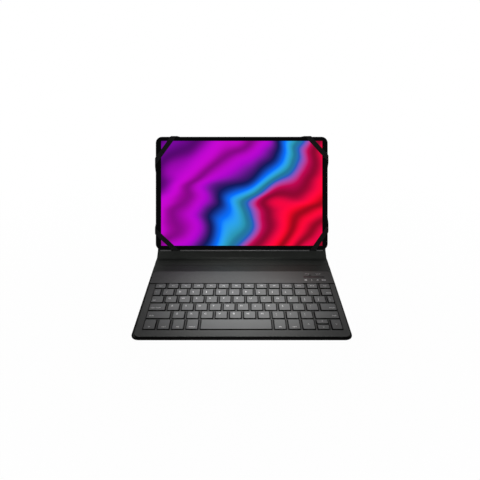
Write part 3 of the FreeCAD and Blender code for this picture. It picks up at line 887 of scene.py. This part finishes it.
def makeTablet():
    corners = (tabletShape["corner"],) * 2
    rims = (tabletShape["backRim"], tabletShape["frontRim"])
    shell = roundedSlab("tabletShell", housingLow, housingHigh, corners, *rims)
    finishPiece(settle(shell, panelFrame), "shell", "tablet", "tablet_shell", "tablet_housing")
    corners = (tabletShape["glassCorner"],) * 2
    glass = roundedSlab("tabletGlass", glassLow, glassHigh, corners, (0, 0), tabletShape["glassRim"])
    size = glassHigh - glassLow
    mapUv(glass, lambda spot: ((spot.x - glassLow.x) / size.x, (spot.y - glassLow.y) / size.y))
    finishPiece(settle(glass, panelFrame), "screen", "tablet", "screen_glass", "tablet_glass")


makeTablet()
ledge = softenEdges(mergedCopy("tablet_ledge", "tabletLedge"), tabletShape["ledgeRim"])
finishPiece(ledge, "ledge", "back_panel", "ledge_plastic", "tablet_ledge")
print("tablet made")


# Keyboard casing and controls
casingShape = {"trayRim": 0.3 * mm, "frontEdge": (0.9 * mm, 4), "corner": 7.2 * mm, "controlRim": 0.12 * mm,
               "shade": 20}


def makeKeyboardTop():
    obj = mergedCopy("keyboard_top_cover", "keyboardTop")
    plateTop = max(vertex.co.z for vertex in obj.data.vertices if near(vertex.co.y, keyboardLow.y, loose))

    def outside(spot):  # on the front edge, its corners or the sides
        return near(spot.z, plateTop, loose) and (
            spot.y < keyboardLow.y + casingShape["corner"]
            or near(spot.x, keyboardLow.x, loose) or near(spot.x, keyboardHigh.x, loose))

    bevelEdges(obj, lambda a, b: outside(a) and outside(b), *casingShape["frontEdge"])
    smooth(obj, casingShape["shade"])  # keeps the wide flat top flat beside its rounded edge
    finishPiece(obj, "casing", "keyboard", "case_plastic", "keyboard_top_cover")


def makeTrayAndControls():
    tray = softenEdges(mergedCopy("keyboard_bottom_cover", "keyboardTray"), casingShape["trayRim"])
    finishPiece(tray, "casing", "keyboard", "case_plastic", "keyboard_bottom_cover")
    for node, name in (("power_switch", "powerSlider"), ("connect_button", "pairingButton")):
        piece = softenEdges(mergedCopy(node, name), casingShape["controlRim"])
        finishPiece(piece, "keys", node, "case_plastic", node)


makeKeyboardTop()
makeTrayAndControls()
print("keyboard casing made")


# Key caps: rounded, slightly dished tops
capShape = {"draft": (0.95 * mm, 0.6 * mm), "corner": (1.1 * mm, 4), "rim": (0.3 * mm, 2), "inset": 1.1 * mm,
            "dish": 0.14 * mm, "gap": 2.1 * mm, "wall": 0.8 * mm, "roof": 0.9 * mm, "shade": 45}
rowCount = {"a_row_keys": 11, "z_row_keys": 10, "function_keys": 14, "left_modifier_keys": 4, "right_modifier_keys": 2}
evenKeys = 12  # keys of the common pitch in the two rows that end in a narrow key
capNodes = [name for name in nodes if name.endswith(("_key", "_keys")) or name == "space_bar"]


def capSpans(node):  # limits of each cap of a node, left to right
    low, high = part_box(node)
    gap = capShape["gap"]
    rowLow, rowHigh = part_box("a_row_keys")
    pitch = (rowHigh.x - rowLow.x + gap) / rowCount["a_row_keys"]
    if node in ("number_keys", "q_row_keys"):
        lead = [high.x - low.x + gap - evenKeys * pitch]  # the narrow key at one end of the row
        widths = lead + [pitch] * evenKeys if node == "number_keys" else [pitch] * evenKeys + lead
    else:
        count = rowCount.get(node, 1)
        widths = [(high.x - low.x + gap) / count] * count
    spans, left = [], low.x
    for width in widths:
        spans.append((Vector((left, low.y, low.z)), Vector((left + width - gap, high.y, high.z))))
        left += width
    return spans


capModels = {}


def makeCap(size):
    key = tuple(round(value / mm, 2) for value in size)
    if key in capModels:
        return capModels[key]
    obj = addBlock("capModel", Vector((0, 0, 0)), Vector(size))
    for vertex in obj.data.vertices:
        if vertex.co.z > size.z / 2:
            vertex.co.x += capShape["draft"][0] * (1 if vertex.co.x < size.x / 2 else -1)
            vertex.co.y += capShape["draft"][1] * (1 if vertex.co.y < size.y / 2 else -1)
    bevelEdges(obj, lambda a, b: abs(a.z - b.z) > size.z / 2, *capShape["corner"])
    editFaces(obj, lambda face: face.normal.z > flatFace)
    bpy.ops.mesh.inset(thickness=capShape["inset"])
    bpy.ops.transform.translate(value=(0, 0, -capShape["dish"]))
    leaveEdit()
    bevelEdges(obj, edgesAt(size.z, loose), *capShape["rim"])
    editFaces(obj, lambda face: face.normal.z < -flatFace)  # hollow underside that clears the switch
    bpy.ops.mesh.inset(thickness=capShape["wall"])
    bpy.ops.mesh.extrude_region_move(TRANSFORM_OT_translate={"value": (0, 0, size.z - capShape["roof"])})
    leaveEdit()
    smooth(obj, capShape["shade"])
    capModels[key] = obj
    return obj


def makeCaps(node):
    copies = [copyPiece(makeCap(high - low), "cap", Matrix.Translation(low)) for low, high in capSpans(node)]
    finishPiece(joinPieces("caps_" + node, copies), "keys", node, "key_plastic", node)


for node in capNodes:
    makeCaps(node)
for model in capModels.values():
    bpy.data.objects.remove(model)
print("key caps made:", len(capNodes))


# Rubber domes and scissor frames: one piece for each set of keys
switchParts = {"rubber_domes": ("domes_", "rubber", 0.12 * mm, "rubber"),
               "scissor_frames": ("scissors_", "white", 0.08 * mm, "white_plastic")}


def looseParts(obj):
    editAll(obj)
    bpy.ops.mesh.separate(type="LOOSE")
    leaveEdit()
    return list(bpy.context.selected_objects)


def middleOf(obj):
    spots = [vertex.co for vertex in obj.data.vertices]
    return sum(spots, Vector()) / len(spots)


def makeSwitches(source):
    name, finish, width, slot = switchParts[source]
    parts = [(part, middleOf(part)) for part in looseParts(softenEdges(mergedCopy(source, name), width, 1))]
    for node in capNodes:
        boxes = capSpans(node)
        under = [part for part, spot in parts
                 if any(a.x < spot.x < b.x and a.y < spot.y < b.y for a, b in boxes)]
        obj = joinPieces(name + node, under)
        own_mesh(obj)
        finishPiece(obj, finish, "keyboard", slot, source)


for source in switchParts:
    makeSwitches(source)
print("key switches made")


# Key legends: plain letters, digits and words
legendShape = {"letter": 4.2 * mm, "word": 3.3 * mm, "lift": 0.02 * mm, "depth": 0.02 * mm}
legends = {
    "function_keys": ["esc", *("F" + str(number) for number in range(1, 13)), "del"],
    "number_keys": [upper + "\n" + lower for upper, lower in zip("~!@#$%^&*()_+", "`1234567890-=")],
    "backspace_key": ["back"], "tab_key": ["tab"], "caps_lock_key": ["caps lock"], "enter_key": ["enter"],
    "left_shift_key": ["shift"], "right_shift_key": ["shift"],
    "q_row_keys": list("QWERTYUIOP") + ["{\n[", "}\n]", "|\n\\"],
    "a_row_keys": list("ASDFGHJKL") + [":\n;", "\"\n'"],
    "z_row_keys": list("ZXCVBNM") + ["<\n,", ">\n.", "?\n/"],
    "left_modifier_keys": ["fn", "ctrl", "alt", "menu"], "right_modifier_keys": ["alt", "ctrl"],
    "left_arrow_key": ["<"], "right_arrow_key": [">"], "up_arrow_key": ["^"], "down_arrow_key": ["v"],
}


def makeText(words, size, spot, align="LEFT"):
    obj = addShape(bpy.ops.object.text_add)
    setAll(obj.data, {"body": words, "size": size, "align_x": align, "align_y": "CENTER", "space_line": 0.85,
                      "resolution_u": 3, "extrude": legendShape["depth"]})
    bpy.ops.object.convert(target="MESH")
    obj = bpy.context.object
    obj.data.transform(Matrix.Translation(spot))
    return obj


legendPlace = {  # share of the cap's width and depth, and alignment
    "letter": (0.36, 0.64, "CENTER"), "pair": (0.36, 0.5, "CENTER"), "word": (0.5, 0.5, "CENTER"),
    "leftWord": (0.12, 0.36, "LEFT"), "rightWord": (0.88, 0.36, "RIGHT"), "lowWord": (0.5, 0.24, "CENTER"),
}
leftWords = ("tab_key", "caps_lock_key", "left_shift_key")
rightWords = ("backspace_key", "enter_key", "right_shift_key")


def legendKind(node, words):
    if node in leftWords:
        return "leftWord"
    if node in rightWords:
        return "rightWord"
    if node.endswith("modifier_keys"):
        return "lowWord"
    if "\n" in words:
        return "pair"
    return "letter" if len(words) == 1 and not node.endswith("arrow_key") else "word"


def makeLegends(node):
    marks = []
    for (low, high), words in zip(capSpans(node), legends[node]):
        across, back, align = legendPlace[legendKind(node, words)]
        size = legendShape["letter"] if len(words) == 1 else legendShape["word"]
        top = high.z - capShape["dish"] + legendShape["lift"]
        spot = Vector((low.x + across * (high.x - low.x), low.y + back * (high.y - low.y), top))
        marks.append(makeText(words, size, spot, align))
    finishPiece(joinPieces("legends_" + node, marks), "legend", node, "key_plastic")


for node in legends:
    makeLegends(node)
print("legends made")


# Printed marks beside the indicator window
barMarks = {"pitch": 8.0 * mm, "below": 8.2 * mm, "size": 3.4 * mm, "stroke": 0.55 * mm, "labelAbove": 8.4 * mm,
            "labelSize": 2.1 * mm, "thick": 0.04 * mm}
markShare = {"stemUp": 0.35, "stem": 0.55, "letter": 1.35, "cell": (1.35, 0.75), "knobOut": 0.78, "knob": 0.34,
             "knobStroke": 1.1}
windowLow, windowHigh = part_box("indicator_window")


def placeMark(obj, spot, hollow):  # an outline or a filled sign, with a printed layer's thickness
    if hollow:
        editAll(obj)
        bpy.ops.mesh.inset(thickness=barMarks["stroke"])
        bpy.ops.mesh.delete(type="FACE")
        leaveEdit()
    obj.data.transform(Matrix.Translation(spot))
    applyModifier(obj, "SOLIDIFY", thickness=barMarks["thick"], offset=0)
    return obj


def makeRingMark(spot, radius):
    ring = addShape(bpy.ops.mesh.primitive_circle_add, vertices=24, radius=radius, fill_type="NGON")
    return placeMark(ring, spot, True)


def makeBarMark(spot, width, height, hollow=False):
    plate = addShape(bpy.ops.mesh.primitive_plane_add, size=1)
    plate.scale = (width, height, 1)
    bpy.ops.object.transform_apply(scale=True)
    return placeMark(plate, spot, hollow)


def makeBarMarks():
    level = keyboardHigh.z + barMarks["thick"]
    centre = (windowLow.x + windowHigh.x) / 2
    row = (windowLow.y + windowHigh.y) / 2 - barMarks["below"]
    size, stroke = barMarks["size"], barMarks["stroke"]
    spots = [Vector((centre + (number - 1.5) * barMarks["pitch"], row, level)) for number in range(4)]
    share = markShare
    stem, knob = Vector((0, size * share["stemUp"], 0)), Vector((size * share["knobOut"], 0, 0))
    marks = [makeRingMark(spots[0], size / 2), makeBarMark(spots[0] + stem, stroke, size * share["stem"])]
    marks += [makeText(sign, size * share["letter"], spot, "CENTER") for sign, spot in zip("1A", spots[1:3])]
    marks += [makeBarMark(spots[3], *(size * part for part in share["cell"]), True),
              makeBarMark(spots[3] + knob, stroke * share["knobStroke"], size * share["knob"])]
    label = (windowLow.y + windowHigh.y) / 2 + barMarks["labelAbove"]
    for node, words in (("power_switch", "off  on"), ("connect_button", "connect")):
        across = sum(corner.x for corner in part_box(node)) / 2
        marks.append(makeText(words, barMarks["labelSize"], Vector((across, label, level)), "CENTER"))
    finishPiece(joinPieces("barMarks", marks), "legend", "keyboard", "case_plastic")


makeBarMarks()
print("bar marks made")


# Floor, light and camera
stageLook = {"floor": 0.86, "floorSize": 12.0, "floorRough": 0.9, "world": 0.10, "mirrored": 0.35,
             "shadowFade": 0.98, "fadeReach": (0.15, 0.6)}


def seenRays(tree):
    rays = addNode(tree, "ShaderNodeLightPath").outputs
    mirrored = mathNode(tree, "MULTIPLY", rays["Is Glossy Ray"], stageLook["mirrored"])
    bounced = mathNode(tree, "MAXIMUM", mirrored, rays["Is Transmission Ray"])
    return mathNode(tree, "MAXIMUM", rays["Is Camera Ray"], bounced)


def showWhite(tree, plain, seen, shader, end):  # plain to the lamps' light, white where it is seen
    white = addNode(tree, shader, {"Color": (1, 1, 1, 1), "Strength": 1.0})
    mix = addNode(tree, "ShaderNodeMixShader", {0: seen, 1: plain.outputs[0], 2: white.outputs[0]})
    feed(tree, tree.nodes[end], {"Surface": mix.outputs[0]})


def makeStage():
    floor = addShape(bpy.ops.mesh.primitive_plane_add, size=stageLook["floorSize"], location=(0, 0, cadBox[0][2]))
    floor.name = "floor"
    material, tree, shader, place = startMaterial("paleFloor")
    feed(tree, shader, {"Base Color": (*grey(stageLook["floor"]), 1), "Roughness": stageLook["floorRough"]})
    away = vectorNode(tree, "LENGTH", {0: place})["Value"]
    fade = rangeNode(tree, away, *stageLook["fadeReach"], stageLook["shadowFade"], 1.0)
    seen = mathNode(tree, "MULTIPLY", seenRays(tree), fade)
    showWhite(tree, shader, seen, "ShaderNodeEmission", "Material Output")
    floor.data.materials.append(material)
    world = bpy.data.worlds.new("studio")
    bpy.context.scene.world = world
    world.use_nodes = True
    tree = world.node_tree
    sky = tree.nodes["Background"]
    feed(tree, sky, {"Color": (1, 1, 1, 1), "Strength": stageLook["world"]})
    showWhite(tree, sky, seenRays(tree), "ShaderNodeBackground", "World Output")


lamps = {  # place, aim, size and power of the soft boxes; the snoot pools light on the keys
    "overhead": ((0.0, 0.5, 1.2), (0.0, 0.0, 0.0), 0.6, 2.8),
    "frontLeft": ((-0.45, -1.3, 0.6), (0.0, 0.1, 0.03), 0.6, 4.4),
    "frontRight": ((0.45, -1.3, 0.6), (0.0, 0.1, 0.03), 0.6, 4.4),
    "backFill": ((0.0, 1.5, 0.2), (0.0, 0.15, 0.07), 0.4, 26.0),
}
snoot = {"place": (0.0, -0.25, 1.25), "aim": (0.0, -0.006, 0.0), "angle": 11.2, "power": 101.0, "radius": 0.04}


def addLamp(name, kind, place, aim, power):
    lamp = addShape(bpy.ops.object.light_add, type=kind, location=place)
    lamp.name = name
    lamp.rotation_euler = (Vector(aim) - Vector(place)).to_track_quat("-Z", "Y").to_euler()
    lamp.visible_camera = False
    lamp.data.energy = power
    return lamp


def makeLamps():
    for name, (place, aim, size, power) in lamps.items():
        lamp = addLamp(name, "AREA", place, aim, power)
        lamp.data.size = size
        lamp.visible_glossy = name == "overhead"  # keeps the dark glass and the rims clear of the others
    lamp = addLamp("snoot", "SPOT", snoot["place"], snoot["aim"], snoot["power"])
    setAll(lamp.data, {"spot_size": math.radians(snoot["angle"]), "spot_blend": 1.0,
                       "shadow_soft_size": snoot["radius"]})


cameraPlace = {"pitch": 26.0, "ahead": 447.9 * mm, "above": 338.0 * mm}
cameraLens = {"lens": 36.75, "sensor_width": 36.0, "shift_x": -0.0036, "shift_y": -0.0004}


def makeCamera():
    data = bpy.data.cameras.new("photoCamera")
    setAll(data, cameraLens)
    camera = bpy.data.objects.new("photoCamera", data)
    bpy.context.scene.collection.objects.link(camera)
    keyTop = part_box("a_row_keys")[1].z
    camera.location = (0, keyboardLow.y - cameraPlace["ahead"], keyTop + cameraPlace["above"])
    camera.rotation_euler = (math.radians(90 - cameraPlace["pitch"]), 0, 0)
    bpy.context.scene.camera = camera


makeStage()
makeLamps()
makeCamera()
bpy.context.scene.view_settings.view_transform = "Standard"
print("stage, light and camera ready")
